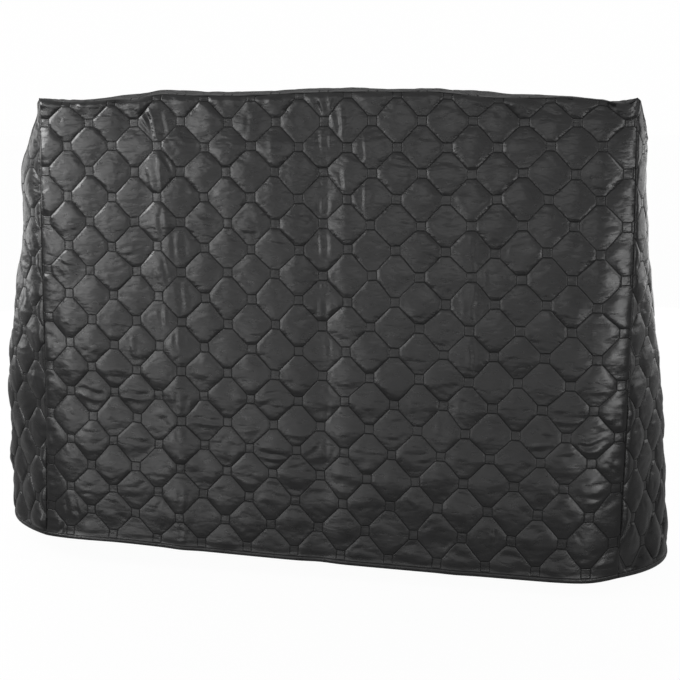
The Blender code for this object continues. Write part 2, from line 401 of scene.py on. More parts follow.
@dataclass(frozen=True)
class SideShape:
    """How one side panel bellies out between its front seam and its back one."""

    cover: CoverShape
    table: Table
    is_left: bool
    droop: float
    levels: int = 241
    places: int = 121
    tries: int = 30

    def seams(self, drop: Array) -> tuple[Array, Array]:
        """Front and back seam points at each drop."""
        here, there = (0 * drop, 0 * drop + 1) if self.is_left else (0 * drop + 1, 0 * drop)
        return self.cover.front(here, drop), self.cover.back(there, drop)

    @cached_property
    def sections(self) -> Array:
        """Level sections of the panel.

        Returns:
            Points evenly spaced along its cloth: levels × places × 3.
        """
        drop = np.linspace(0.0, 1.0, self.levels)
        start, end = self.seams(drop)
        chord = end - start
        level = unit(chord * (1.0, 1.0, 0.0))
        side = -1.0 if self.is_left else 1.0
        out = np.stack([level[:, 1], -level[:, 0], 0 * drop], axis=1) * side
        front = np.radians(self.table.read("front_angle", drop))[:, None]
        back = np.radians(self.table.read("back_angle", drop))[:, None]
        lead_out = level * np.cos(front) + out * np.sin(front)
        lead_in = out * np.sin(back) - level * np.cos(back)
        cloth = np.linalg.norm(chord, axis=1) + np.maximum(0.0, self.table.read("slack", drop))
        t = np.linspace(0.0, 1.0, self.places)[None, :, None]

        def curve(reach: Array) -> Array:
            """Curves from seam to seam.

            Args:
                reach: Length of the leads at each level.

            Returns:
                Points of one curve a level.
            """
            one = (start + lead_out * reach[:, None])[:, None]
            two = (end + lead_in * reach[:, None])[:, None]
            ends = start[:, None] * (1 - t) ** 3 + end[:, None] * t**3
            return ends + one * (3 * (1 - t) ** 2 * t) + two * (3 * (1 - t) * t**2)

        short, long = np.zeros_like(cloth), cloth.copy()
        for _ in range(self.tries):
            reach = (short + long) / 2
            points = curve(reach)
            length = np.linalg.norm(np.diff(points, axis=1), axis=2).sum(axis=1)
            small = length < cloth
            short, long = np.where(small, reach, short), np.where(small, long, reach)
        points = curve((short + long) / 2)
        even = np.linspace(0.0, 1.0, self.places)
        for row in points:
            steps = np.linalg.norm(np.diff(row, axis=0), axis=1)
            run = np.append(0.0, np.cumsum(steps)) / steps.sum()
            row[:] = np.stack([np.interp(even, run, row[:, axis]) for axis in range(3)], axis=1)
        return points

    def point(self, across: Array, drop: Array) -> Array:
        """Outer face of the panel, seen from outside with `across` rising to the right.

        Args:
            across: Share of the cloth's width at that level.
            drop: Share of the drop from the rim.

        Returns:
            One point a row.
        """
        along = 1 - across if self.is_left else across
        row, place = drop * (self.levels - 1), along * (self.places - 1)
        i = np.clip(row.astype(int), 0, self.levels - 2)
        j = np.clip(place.astype(int), 0, self.places - 2)
        fi, fj = (row - i)[:, None], (place - j)[:, None]
        grid = self.sections
        upper = grid[i, j] * (1 - fj) + grid[i, j + 1] * fj
        lower = grid[i + 1, j] * (1 - fj) + grid[i + 1, j + 1] * fj
        points = upper * (1 - fi) + lower * fi
        points[:, 2] -= self.droop * np.sin(math.pi * along) * drop**self.cover.droop_power
        return points


# ================================================================ the front's creases
# Under each height and half-width, rows of start across and down, end across and down, and a bow that is
# not 0. All in millimetres, across from the left seam and down from the rim.
FRONT_CREASES: dict[Pair, tuple[tuple[float, ...], ...]] = {
    (-5.6, 4.8): ((271, 58, 322, 132), (288, 13, 322, 132, 3)),
    (-5.4, 4.8): ((322, 132, 369, 197),),
    (2.4, 6.6): ((305, 32, 324, 123),),
    (-3, 5.6): ((333, 36, 346, 115),),
    (2.1, 4.7): ((343, 14, 369, 67),),
    (-1.8, 4.7): (
        (254, 14, 271, 58), (1429, 315, 1476, 311, 4), (1264, 19, 1319, 51), (1455, 883, 1489, 909),
    ),
    (1.68, 4.7): (
        (356, 115, 386, 141), (1123, 455, 1120, 555), (378, 582, 380, 643), (381, 661, 382, 722),
        (382, 744, 384, 805), (385, 827, 387, 883), (388, 909, 390, 970), (392, 992, 394, 1053),
        (395, 1075, 398, 1136), (1442, 1114, 1495, 1112),
    ),
    (-1.8, 4.3): (
        (314, 154, 329, 245), (333, 276, 334, 368), (25, 420, 123, 446, 4), (585, 892, 670, 901, 2),
    ),
    (1.8, 4.7): ((330, 154, 336, 245), (855, 106, 855, 180)),
    (1.08, 4.7): (
        (299, 176, 310, 237), (320, 289, 323, 350), (369, 402, 377, 472), (774, 86, 775, 128),
        (774, 171, 774, 215), (774, 256, 772, 302), (774, 341, 770, 385), (774, 426, 773, 470),
        (774, 509, 773, 559), (802, 154, 846, 172), (933, 311, 992, 315, 4), (1340, 354, 1391, 359),
    ),
    (1.8, 5.5): ((346, 280, 350, 359),),
    (-2.04, 4.3): ((333, 394, 352, 485), (1383, 822, 1459, 805, 4)),
    (1.32, 5.5): ((314, 402, 329, 472), (615, 108, 616, 150), (1442, 511, 1484, 520), (1416, 977, 1455, 973)),
    (2.04, 5.5): ((377, 341, 382, 437), (1149, 420, 1154, 463)),
    (-1.2, 4.3): ((365, 346, 370, 429),),
    (-0.9, 4.7): ((396, 354, 399, 420), (1014, 163, 1094, 173, -3)),
    (-1.92, 4.3): ((380, 463, 381, 555),),
    (1.32, 4.7): ((390, 468, 394, 546), (252, 604, 253, 678)),
    (0.96, 4.7): ((363, 472, 365, 533), (204, 341, 254, 333, -5)),
    (1.68, 5.5): ((339, 533, 341, 586),),
    (-1.44, 4.3): ((329, 533, 331, 581),),
    (-1.68, 3.9): ((221, 269, 297, 272, 2), (1319, 363, 1404, 372), (1391, 840, 1459, 827, 3)),
    (-1.08, 3.9): (
        (229, 283, 293, 286), (178, 278, 216, 280), (229, 405, 280, 402), (735, 86, 740, 132),
        (735, 171, 739, 219), (735, 256, 737, 306), (735, 341, 735, 389), (735, 426, 739, 474),
        (735, 509, 738, 564), (845, 110, 847, 176), (847, 224, 846, 289), (946, 285, 1009, 272, 5),
        (1111, 459, 1110, 546), (992, 368, 1043, 359, 4), (1255, 498, 1306, 507, 3), (262, 609, 263, 674),
        (1198, 1045, 1199, 1088),
    ),
    (-1.56, 3.9): (
        (399, 322, 483, 335, 3), (68, 330, 119, 341, 6), (780, 13, 774, 60), (216, 879, 305, 879, 2),
        (335, 1027, 322, 1066, 4),
    ),
    (-1.44, 3.9): (
        (424, 298, 488, 311, 2), (488, 352, 539, 359), (178, 446, 237, 429, 4), (229, 503, 310, 511, 3),
        (42, 189, 89, 202, 6), (72, 311, 123, 317, 5), (1327, 372, 1395, 386, 3), (589, 774, 670, 779),
        (589, 752, 645, 731), (348, 1079, 339, 1123), (367, 587, 368, 639), (370, 665, 371, 718),
        (371, 748, 373, 800), (374, 831, 376, 879), (377, 914, 379, 966), (381, 997, 383, 1049),
        (384, 1079, 387, 1132), (770, 595, 769, 648), (769, 676, 770, 733), (769, 765, 768, 818),
        (767, 848, 768, 896), (1260, 861, 1323, 857),
    ),
    (1.2, 4.7): (
        (411, 311, 475, 320), (221, 394, 288, 388), (1052, 333, 1086, 335), (221, 770, 301, 771),
        (407, 827, 492, 831), (441, 1040, 441, 1062),
    ),
    (-2.28, 4.3): ((526, 315, 615, 311, -3),),
    (1.56, 5.5): (
        (530, 330, 611, 327), (1183, 14, 1204, 49), (72, 874, 115, 901, 6), (1319, 779, 1408, 783),
        (1387, 857, 1450, 853), (1421, 796, 1467, 774),
    ),
    (-1.2, 3.9): (
        (611, 363, 666, 368), (581, 507, 661, 507), (199, 551, 254, 557, 5), (954, 300, 1009, 293, 6),
        (1128, 346, 1134, 442), (1298, 139, 1319, 150), (411, 1092, 437, 1145), (1128, 591, 1128, 670),
        (1349, 750, 1391, 744),
    ),
    (-1.32, 3.9): (
        (229, 381, 293, 372, 3), (458, 511, 547, 507), (144, 394, 195, 389, 5), (123, 485, 178, 498, 5),
        (1213, 359, 1204, 394, 4), (1281, 405, 1323, 407), (678, 809, 704, 787), (458, 879, 555, 879),
        (963, 879, 1026, 879), (836, 883, 912, 888, 2),
    ),
    (-0.96, 3.9): ((399, 442, 483, 450), (526, 1014, 581, 1018, 4)),
    (1.56, 4.7): ((127, 324, 161, 311, 4), (1118, 341, 1124, 446), (1118, 587, 1119, 678)),
    (1.08, 5.5): ((64, 254, 110, 267, 4), (157, 206, 199, 228), (594, 907, 661, 913)),
    (-1.2, 4.7): ((42, 533, 98, 540, 4),),
    (-0.84, 3.9): ((466, 154, 526, 158), (916, 254, 942, 261), (1183, 280, 1217, 298)),
    (-0.72, 3.9): ((458, 237, 517, 235, 4),),
    (0.96, 6.2): ((93, 93, 157, 110, 4), (1281, 1018, 1323, 1027, 4)),
    (-0.96, 4.7): ((42, 128, 81, 141), (195, 1084, 237, 1092, -4), (1052, 979, 1103, 992, -4)),
    (-1.08, 4.7): ((161, 115, 204, 97, 4), (1052, 19, 1077, 45), (271, 970, 314, 962, 5)),
    (2.88, 5.4): ((712, 13, 734, 62),),
    (-3.02, 4.5): ((729, 13, 743, 67),),
    (2.88, 5): ((743, 13, 753, 65),),
    (-2.16, 3.9): ((757, 13, 758, 62),),
    (2.04, 4.3): (
        (767, 13, 765, 62), (747, 75, 751, 141), (747, 160, 750, 228), (747, 245, 747, 315),
        (747, 330, 745, 398), (747, 415, 749, 483), (747, 498, 748, 572),
    ),
    (-1.8, 3.9): (
        (759, 80, 762, 137), (759, 165, 762, 225), (759, 250, 759, 312), (759, 335, 757, 395),
        (759, 420, 761, 480), (759, 503, 760, 569), (912, 167, 984, 173, 2), (526, 831, 602, 818, 8),
        (1315, 765, 1416, 770, 2), (1260, 835, 1340, 827, 2),
    ),
    (2.88, 5.9): ((793, 32, 802, 115),),
    (-1.32, 4.7): (
        (781, 41, 790, 110), (791, 184, 799, 237), (1433, 394, 1480, 385, 4), (1442, 463, 1484, 459, -4),
    ),
    (2.28, 5.1): ((802, 180, 810, 237),),
    (1.92, 4.7): ((857, 219, 855, 293),),
    (-1.92, 3.9): ((806, 141, 857, 160, 3), (216, 757, 305, 757, 2), (399, 813, 496, 818, 3)),
    (-1.8, 7): ((1022, 320, 1094, 328, 2),),
    (0.84, 4.7): ((1289, 154, 1327, 163),),
    (1.44, 5.5): (
        (1433, 154, 1476, 184), (1323, 14, 1357, 45), (1264, 848, 1340, 840), (1340, 966, 1378, 970, 4),
    ),
    (-1.44, 4.7): (
        (1438, 176, 1484, 206), (76, 796, 89, 822, 8), (1336, 949, 1370, 962, 6), (1383, 1106, 1433, 1101),
    ),
    (1.56, 6.2): ((1433, 333, 1480, 330),),
    (0.96, 5.5): ((1370, 254, 1408, 272),),
    (-1.56, 5.5): ((1162, 14, 1183, 58),),
    (-1.68, 4.7): ((1196, 54, 1255, 41, 3), (1433, 1092, 1493, 1088)),
    (-3.02, 5.4): ((93, 748, 174, 765, 4),),
    (2.04, 6.2): ((98, 763, 170, 779, 4),),
    (-1.44, 5.5): ((98, 861, 182, 861, 3),),
    (-1.56, 4.7): (
        (712, 901, 763, 848, 6), (59, 883, 102, 922, 6), (1107, 739, 1120, 770, 6), (1416, 962, 1450, 966, 3),
    ),
    (-1.5, 4.3): ((64, 1040, 68, 1101, 2), (89, 1045, 98, 1110, -2)),
    (1.2, 5.5): ((76, 1042, 81, 1101),),
    (0.9, 4.7): ((102, 1049, 112, 1101),),
    (-0.84, 4.7): (
        (393, 591, 393, 635), (395, 670, 395, 713), (397, 752, 398, 796), (399, 835, 400, 874),
        (402, 918, 404, 962), (406, 1001, 408, 1045), (410, 1084, 411, 1127), (882, 656, 933, 665, 3),
        (992, 722, 1035, 713, 4),
    ),
    (1.56, 4.3): ((758, 591, 757, 652), (757, 672, 758, 737), (757, 761, 756, 822), (756, 844, 756, 901)),
    (0.72, 4.7): ((744, 600, 744, 643), (742, 680, 744, 728), (743, 770, 743, 813), (741, 853, 743, 892)),
    (1.08, 6.2): ((157, 962, 204, 979, 4),),
    (0.84, 6.2): ((653, 1066, 695, 1075, 4),),
    (-2.04, 3.9): ((1310, 757, 1404, 757, 3), (1255, 822, 1349, 813, 3)),
    (1.44, 4.7): ((1187, 1040, 1188, 1092),),
    (0.7, 5.5): ((1467, 639, 1493, 691),),
    (-6.5, 4.2): ((50, 1104, 51, 1162),),
    (3, 5): ((58, 1112, 60, 1162),),
}


# ================================================================ quilting and crumples
@dataclass(frozen=True)
class Rumple:
    """Smooth random ups and downs over the cloth, the same on every run."""

    seed: int
    grain: float
    stretch: float = 1.0
    turn: float = 0.0
    side: ClassVar[int] = 256
    start: ClassVar[float] = 50.0
    ridge_width: ClassVar[float] = 0.30

    @cached_property
    def knots(self) -> Array:
        """The random heights at whole steps, from -1 to 1."""
        return np.random.default_rng(self.seed).uniform(-1.0, 1.0, (self.side, self.side))

    def at(self, x: Array, y: Array) -> Array:
        """Height at each place.

        Args:
            x: Metres across the cloth.
            y: Metres down the cloth.

        Returns:
            Heights from -1 to 1.
        """
        cos, sin = math.cos(self.turn), math.sin(self.turn)
        a = (x * cos - y * sin) / self.grain + self.start
        b = (x * sin + y * cos) / (self.grain * self.stretch) + self.start
        i, j = np.floor(a).astype(int), np.floor(b).astype(int)
        fa, fb = a - i, b - j
        fa, fb = fa**3 * (fa * (6 * fa - 15) + 10), fb**3 * (fb * (6 * fb - 15) + 10)
        i, j, side = i % self.side, j % self.side, self.side
        k, n = (i + 1) % side, (j + 1) % side
        grid = self.knots
        upper = grid[i, j] * (1 - fa) + grid[k, j] * fa
        lower = grid[i, n] * (1 - fa) + grid[k, n] * fa
        return upper * (1 - fb) + lower * fb

    def ridges(self, x: Array, y: Array) -> Array:
        """Soft ridges from 0 to 1 where the ups and downs cross zero."""
        return bell(self.at(x, y), self.ridge_width)


class Layer(Enum):
    """Layers of ups and downs: offset from the panel's seed, grain in metres, stretch and turn."""

    SOFT = (1, 0.026, 1.4, 1.3)
    TUCKS = (2, 0.040, 2.2, 1.45)
    SLUMP = (3, 0.19)
    PATCHES = (4, 0.16)
    PUCKERS = (5, 0.015)
    WANDER_DOWN = (6, 0.035)
    QUIVER_DOWN = (7, 0.012)
    WANDER_ACROSS = (8, 0.035)
    QUIVER_ACROSS = (9, 0.012)
    CREEP_ACROSS = (11, 0.075)
    CREEP_DOWN = (12, 0.075)
    LIP = (13, 0.09)
    SAG = (14, 0.075)


@dataclass(frozen=True)
class Quilting:
    """Octagons between diagonal stitch lines, with a small square at each crossing."""

    across: float = 0.12216
    down: float = 0.12566
    square: float = 2 / 22
    cells: int = 28
    square_cells: int = 2
    puff: float = 0.0011
    shoulder: float = 0.0048
    crown: float = 0.0026
    small_puff: float = 0.0007
    small_shoulder: float = 0.0026
    uneven: float = 0.25
    tilt: float = 0.0018
    lucks: int = 64
    loosens: Pair = (0.001, 0.014)

    @property
    def repeat(self) -> float:
        """Mean size of one repeat."""
        return (self.across + self.down) / 2

    def lattice(self, cells: Array) -> Array:
        """Repeats at whole cells from a crossing, drawn in so that the squares' edges fall on cell lines.

        Args:
            cells: Cells counted from a crossing.

        Returns:
            Repeats counted from the same crossing.
        """
        half = self.cells // 2
        nearest = np.round(cells / half)
        off = cells - nearest * half
        size = np.abs(off)
        step_in = self.square / self.square_cells
        step_out = (0.25 - self.square) / (half / 2 - self.square_cells)
        outside = self.square + (size - self.square_cells) * step_out
        place = np.where(size <= self.square_cells, size * step_in, outside)
        return nearest / 2 + np.sign(off) * place

    def to_stitch(self, s: Array, t: Array) -> tuple[Array, Array]:
        """Distance to the nearest stitch line.

        Args:
            s: Repeats across.
            t: Repeats down.

        Returns:
            The distance in metres, and True inside a small square.
        """
        a, b = np.abs(s - np.round(s)), np.abs(t - np.round(t))
        shift = 0.5 * (a + b > 0.5)
        a, b = np.abs(a - shift), np.abs(b - shift)
        big = np.maximum(a, b)
        inside = big < self.square
        outer = np.minimum(np.abs(a - b) / math.sqrt(2.0), big - self.square)
        return np.where(inside, self.square - big, outer) * self.repeat, inside

    def centre(self, s: Array, t: Array) -> tuple[Array, Array]:
        """Doubled repeats of the octagon that a point lies in, as whole numbers."""
        plus, minus = np.floor(s + t), np.floor(s - t)
        return (plus + minus + 1).astype(int), (plus - minus).astype(int)

    def dome(self, s: Array, t: Array) -> Array:
        """Even rounding of the octagons between the diagonal stitch lines."""
        falls, rises = 2 * ((s + t) % 1.0) - 1, 2 * ((s - t) % 1.0) - 1
        return self.crown * (1 - falls**2) * (1 - rises**2)

    def height(self, s: Array, t: Array, seed: int) -> tuple[Array, Array]:
        """Height of the puffs over the stitched-down cloth.

        Args:
            s: Repeats across.
            t: Repeats down.
            seed: Panel's own seed, for how full each puff is.

        Returns:
            The height in metres, and how free the cloth is to crumple, from 0 at a stitch line to 1.
        """
        gap, small = self.to_stitch(s, t)
        i, j = self.centre(s, t)
        luck = np.random.default_rng(seed).uniform(-1.0, 1.0, (3, self.lucks, self.lucks))
        full, lean_s, lean_t = luck[:, i % self.lucks, j % self.lucks]
        reach = np.where(small, self.small_shoulder, self.shoulder)
        rise = 1 - np.exp(-gap / reach)
        peak = np.where(small, self.small_puff, self.puff * (1 + self.uneven * full))
        across, down = s - i / 2, t - j / 2
        lean = self.tilt * 2 * (lean_s * across + lean_t * down)
        octagon = rise * (peak + lean) + self.dome(s, t) * (1 + self.uneven * full)
        return np.where(small, rise * peak, octagon), smooth(*self.loosens, gap) * ~small


# ================================================================ material notation
class Signal:
    """A shader socket that takes part in Python arithmetic. Each operator adds a Math node."""

    def __init__(self, board: "NodeBoard", socket: bpy.types.NodeSocket) -> None:
        """Wraps a socket.

        Args:
            board: The socket's node board.
            socket: Output socket to read.
        """
        self.board = board
        self.socket = socket

    def _math(self, operation: str, *values: "Term") -> "Signal":
        """One Math node fed by this signal's board."""
        return self.board.node("ShaderNodeMath", {"operation": operation}, dict(enumerate(values)))

    def __add__(self, other: "Term") -> "Signal":
        """Sum."""
        return self._math("ADD", self, other)

    def __radd__(self, other: "Term") -> "Signal":
        """Sum, reflected."""
        return self._math("ADD", other, self)

    def __sub__(self, other: "Term") -> "Signal":
        """Difference."""
        return self._math("SUBTRACT", self, other)

    def __rsub__(self, other: "Term") -> "Signal":
        """Difference, reflected."""
        return self._math("SUBTRACT", other, self)

    def __mul__(self, other: "Term") -> "Signal":
        """Product."""
        return self._math("MULTIPLY", self, other)

    def __rmul__(self, other: "Term") -> "Signal":
        """Product, reflected."""
        return self._math("MULTIPLY", other, self)

    def __abs__(self) -> "Signal":
        """Size without sign."""
        return self._math("ABSOLUTE", self)

    def __lt__(self, other: "Term") -> "Signal":
        """1 where less."""
        return self._math("LESS_THAN", self, other)

    def __gt__(self, other: "Term") -> "Signal":
        """1 where greater."""
        return self._math("GREATER_THAN", self, other)

    def rounded(self) -> "Signal":
        """Nearest whole number."""
        return self._math("ROUND", self)

    def sine(self) -> "Signal":
        """Sine of an angle in radians."""
        return self._math("SINE", self)

    def least(self, other: "Term") -> "Signal":
        """The smaller."""
        return self._math("MINIMUM", self, other)

    def most(self, other: "Term") -> "Signal":
        """The larger."""
        return self._math("MAXIMUM", self, other)

    def step(self, low: float, high: float, top: float = 1.0) -> "Signal":
        """A soft step from 0 at `low` to `top` at `high`."""
        values = {"Value": self, "From Min": low, "From Max": high, "To Max": top}
        return self.board.node("ShaderNodeMapRange", {"interpolation_type": "SMOOTHSTEP"}, values)


Term = Union[Signal, Number]


class NodeBoard:
    """The node tree of a material or a world."""

    def __init__(self, owner: bpy.types.Material | bpy.types.World) -> None:
        """Turns the owner's nodes on.

        Args:
            owner: A new material or world.
        """
        owner.use_nodes = True
        self.tree = owner.node_tree

    def node(
        self,
        kind: str,
        settings: dict[str, object] | None = None,
        values: dict[Union[int, str], object] | None = None,
        output: Union[int, str] = 0,
    ) -> Signal:
        """Adds any node.

        Args:
            kind: Node type.
            settings: Properties, set first.
            values: Values or signals of the sockets.
            output: Socket to return.

        Returns:
            The chosen output as a signal.
        """
        made = self.tree.nodes.new(kind)
        for key, value in (settings or {}).items():
            setattr(made, key, value)
        for key, value in (values or {}).items():
            self.feed(made.inputs[key], value)
        return Signal(self, made.outputs[output])

    def feed(self, socket: bpy.types.NodeSocket, value: object) -> None:
        """Links a signal to a socket, or sets its value.

        Args:
            socket: Input socket.
            value: Signal, number, colour or vector.
        """
        if isinstance(value, Signal):
            self.tree.links.new(value.socket, socket)
        else:
            socket.default_value = value

    def ready(self, name: str, values: dict[str, object]) -> Signal | None:
        """Feeds a node that the tree came with.

        Args:
            name: The node's name.
            values: Values or signals of its sockets.

        Returns:
            Its first output as a signal, or None where it has no output.
        """
        node = self.tree.nodes[name]
        for key, value in values.items():
            self.feed(node.inputs[key], value)
        return Signal(self, node.outputs[0]) if node.outputs else None

    def axis(self, vector: Signal, letter: str) -> Signal:
        """One coordinate of a vector."""
        return self.node("ShaderNodeSeparateXYZ", None, {"Vector": vector}, letter)

    def noise(self, place: Signal, scale: float, detail: float) -> Signal:
        """Fractal noise about 0.5.

        Args:
            place: Coordinates.
            scale: Repeats a unit.
            detail: Octaves.

        Returns:
            The noise.
        """
        return self.node("ShaderNodeTexNoise", None, {"Vector": place, "Scale": scale, "Detail": detail})


@dataclass(frozen=True)
class SatinFinish:
    """Black satin, quilted with black stitching. Its maps count quilting repeats and metres to the edges.

    The dark stitching shader also paints shade, in bands along the grooves, seams and hem line. The pairs of
    cloud, crumple and gather are a noise's scale and detail. The others are where a soft step starts and
    ends.
    """

    cloth: Colour = (0.0085, 0.0085, 0.0088, 1.0)
    worn: Colour = (0.0120, 0.0120, 0.0123, 1.0)
    wear: Pair = (0.35, 0.75)
    # Colour of the black stitching, and of the painted shade laid beside it in the grooves, seams and hem
    # line.
    thread_and_shade: Colour = (0.0030, 0.0030, 0.0032, 1.0)
    roughness: float = 0.29
    roughness_spread: float = 0.07
    thread_and_shade_roughness: float = 0.65
    thread_and_shade_gloss: float = 0.12
    thread_and_shade_cover: float = 0.75
    sheen: float = 0.08
    sheen_roughness: float = 0.35
    groove: Pair = (0.0006, 0.0022)
    groove_depth: float = 0.0005
    stitch: float = 0.0032
    stitch_depth: float = 0.0001
    seam: Pair = (0.0004, 0.0021)
    seam_depth: float = 0.0008
    hem_edge: Pair = (0.006, 0.014)
    hem_stitch: float = 0.0100
    hem_line: Pair = (0.0003, 0.0016)
    hem_line_depth: float = 0.0006
    cloud: Pair = (9.0, 3.0)
    crumple: Pair = (48.0, 1.8)
    crumple_pull: Place = (0.65, 1.35, 1.0)
    crumple_depth: float = 0.0010
    upper_crumple: float = 0.0012
    upper: Pair = (0.25, 0.95)
    gather: Pair = (190.0, 1.0)
    gather_pull: float = 0.3
    gather_drift: float = 0.03
    gather_depth: float = 0.0005
    gather_near: Pair = (0.0015, 0.004)
    gather_far: Pair = (0.006, 0.013)

    def material(self, name: str, quilting: Quilting) -> bpy.types.Material:
        """Builds the material of one panel.

        Args:
            name: Material's name.
            quilting: Sizes of the stitching.

        Returns:
            The material.
        """
        material = bpy.data.materials.new(name)
        board = NodeBoard(material)
        flat = board.node("ShaderNodeUVMap", {"uv_map": "cloth"})
        edges = board.node("ShaderNodeUVMap", {"uv_map": "edges"})
        to_seam, to_hem = board.axis(edges, "X"), board.axis(edges, "Y")
        gap, run = self._stitching(board.axis(flat, "X"), board.axis(flat, "Y"), quilting)
        groove = (1 - gap.step(*self.groove)) * to_hem.step(*self.hem_edge)
        seam = 1 - to_seam.step(*self.seam)
        hem_line = 1 - abs(to_hem - self.hem_stitch).step(*self.hem_line)
        # Painted shade: this mask reaches wider than the stitching itself, darkening the hollows of the
        # grooves, seams and hem line.
        dark = groove.most(seam).most(hem_line)
        metres = board.node(
            "ShaderNodeVectorMath", {"operation": "SCALE"}, {0: flat, "Scale": quilting.repeat}
        )
        cloudy = board.noise(metres, *self.cloud)
        pulled = board.node(
            "ShaderNodeVectorMath", {"operation": "MULTIPLY"}, {0: metres, 1: self.crumple_pull}
        )
        crumple = board.noise(pulled, *self.crumple) - 0.5
        drift = {"X": run, "Y": gap * self.gather_pull, "Z": cloudy * self.gather_drift}
        gather = board.noise(board.node("ShaderNodeCombineXYZ", None, drift), *self.gather) - 0.5
        beside = gap.step(*self.gather_near) * (1 - gap.step(*self.gather_far))
        stitch = (run * (2 * math.pi / self.stitch)).sine()
        relief = crumple * (self.crumple_depth + self.upper_crumple * to_hem.step(*self.upper))
        relief = relief + gather * beside * self.gather_depth
        relief = relief + groove * (stitch * self.stitch_depth - self.groove_depth)
        relief = relief - seam * self.seam_depth - hem_line * self.hem_line_depth
        values = {"Strength": 1.0, "Distance": 1.0, "Height": relief}
        bump = board.node("ShaderNodeBump", None, values, "Normal")
        mixed = {"Factor": cloudy.step(*self.wear), 6: self.cloth, 7: self.worn}
        satin = board.ready("Principled BSDF", {
            "Base Color": board.node("ShaderNodeMix", {"data_type": "RGBA"}, mixed, 2),
            "Roughness": self.roughness + self.roughness_spread * crumple * 2,
            "Normal": bump,
            "Sheen Weight": self.sheen,
            "Sheen Roughness": self.sheen_roughness,
        })
        # Black stitching that also paints shade: dark colour, low gloss and high roughness darken the hollows
        # it covers.
        sewing_and_shade = {
            "Base Color": self.thread_and_shade,
            "Roughness": self.thread_and_shade_roughness,
            "Specular IOR Level": self.thread_and_shade_gloss,
            "Normal": bump,
        }
        thread_and_shade = board.node("ShaderNodeBsdfPrincipled", None, sewing_and_shade, "BSDF")
        shares = {0: dark * self.thread_and_shade_cover, 1: satin, 2: thread_and_shade}
        board.ready("Material Output", {"Surface": board.node("ShaderNodeMixShader", None, shares)})
        return material

    @staticmethod
    def _stitching(s: Signal, t: Signal, quilting: Quilting) -> tuple[Signal, Signal]:
        """Finds the stitch lines.

        Args:
            s: Repeats across.
            t: Repeats down.
            quilting: Sizes of the stitching.

        Returns:
            Distance to the nearest stitch line and distance along it, both in metres.
        """
        a, b = abs(s - s.rounded()), abs(t - t.rounded())
        shift = ((a + b) > 0.5) * 0.5
        a, b = abs(a - shift), abs(b - shift)
        big = a.most(b)
        inside = big < quilting.square
        outer = (abs(a - b) * math.sqrt(0.5)).least(big - quilting.square)
        gap = inside * (quilting.square - big) + (1 - inside) * outer
        return gap * quilting.repeat, (a + b) * (quilting.repeat * math.sqrt(0.5))


# ================================================================ panels
class Wall(Enum):
    """The five panels of the cover."""

    FRONT = "front_panel"
    RIGHT = "right_side_panel"
    BACK = "back_panel"
    LEFT = "left_side_panel"
    TOP = "top_panel"


@dataclass(frozen=True)
class Wrinkling:
    """Short wrinkles scattered over the puffs, mostly level, more of them beside the side seams.

    They start at most `scatter` repeats across and down from a puff's middle. The other pairs are the least
    and the most.
    """

    number: float = 1.1
    left_more: float = 2.0
    right_more: float = 2.4
    deepest: float = 0.0013
    edge_reach: float = 0.15
    ridges: float = 0.35
    patch: float = 0.30
    patchy: float = 0.9
    scatter: Pair = (0.2, 0.26)
    halves: Pair = (0.010, 0.030)
    level: float = 0.78
    level_turn: float = 0.30
    upright_turn: float = 0.35
    strengths: Pair = (0.35, 1.0)
    widths: Pair = (0.0044, 0.0062)
    bows: Pair = (-0.005, 0.006)

    def creases(self, quilting: Quilting, size: Pair, first: Pair, seed: int) -> list[Crease]:
        """Draws the wrinkles of one panel.

        Args:
            quilting: Sizes of the puffs.
            size: Panel's greatest width and its length.
            first: Metres from the panel's left end, and down from its rim, to a crossing.
            seed: Panel's own seed.

        Returns:
            The wrinkles, in metres from the panel's left edge and below its rim.
        """
        rng = np.random.default_rng(seed)
        patches = Rumple(seed + 1, self.patch)
        found = []
        width, length = size
        spare = 4
        columns = 2 * int(width / quilting.across) + spare
        rows = 2 * int(length / quilting.down) + spare
        for i in range(-columns, columns + 1):
            for j in range(-1, rows):
                x, y = i / 2 * quilting.across + first[0], j / 2 * quilting.down + first[1]
                if (i + j) % 2 == 0 or not (0 < x < width and 0 < y < length):
                    continue
                busy = 1 + self.patchy * float(patches.at(np.array([x]), np.array([y]))[0])
                busy += self.left_more * math.exp(-x / self.edge_reach)
                busy += self.right_more * math.exp(-(width - x) / self.edge_reach)
                for _ in range(rng.poisson(self.number * busy)):
                    found.append(self._one(rng, x, y, quilting.repeat))
        return found

    def _one(self, rng: np.random.Generator, x: float, y: float, repeat: float) -> Crease:
        """Draws one wrinkle.

        Args:
            rng: The panel's random numbers.
            x: Middle of the puff, in metres from the panel's left edge.
            y: The same below its rim.
            repeat: Size of one repeat.

        Returns:
            The wrinkle.
        """
        aside, down = self.scatter
        x, y = x + rng.uniform(-aside, aside) * repeat, y + rng.uniform(-down, down) * repeat
        half = rng.uniform(*self.halves)
        is_level = rng.random() < self.level
        angle = rng.normal(0.0, self.level_turn) if is_level else rng.normal(math.pi / 2, self.upright_turn)
        reach_x, reach_y = half * math.cos(angle), half * math.sin(angle)
        height = self.deepest * rng.uniform(*self.strengths) * (1 if rng.random() < self.ridges else -1)
        ends = (x - reach_x, y - reach_y, x + reach_x, y + reach_y)
        return Crease(*ends, height, rng.uniform(*self.widths), rng.uniform(*self.bows))


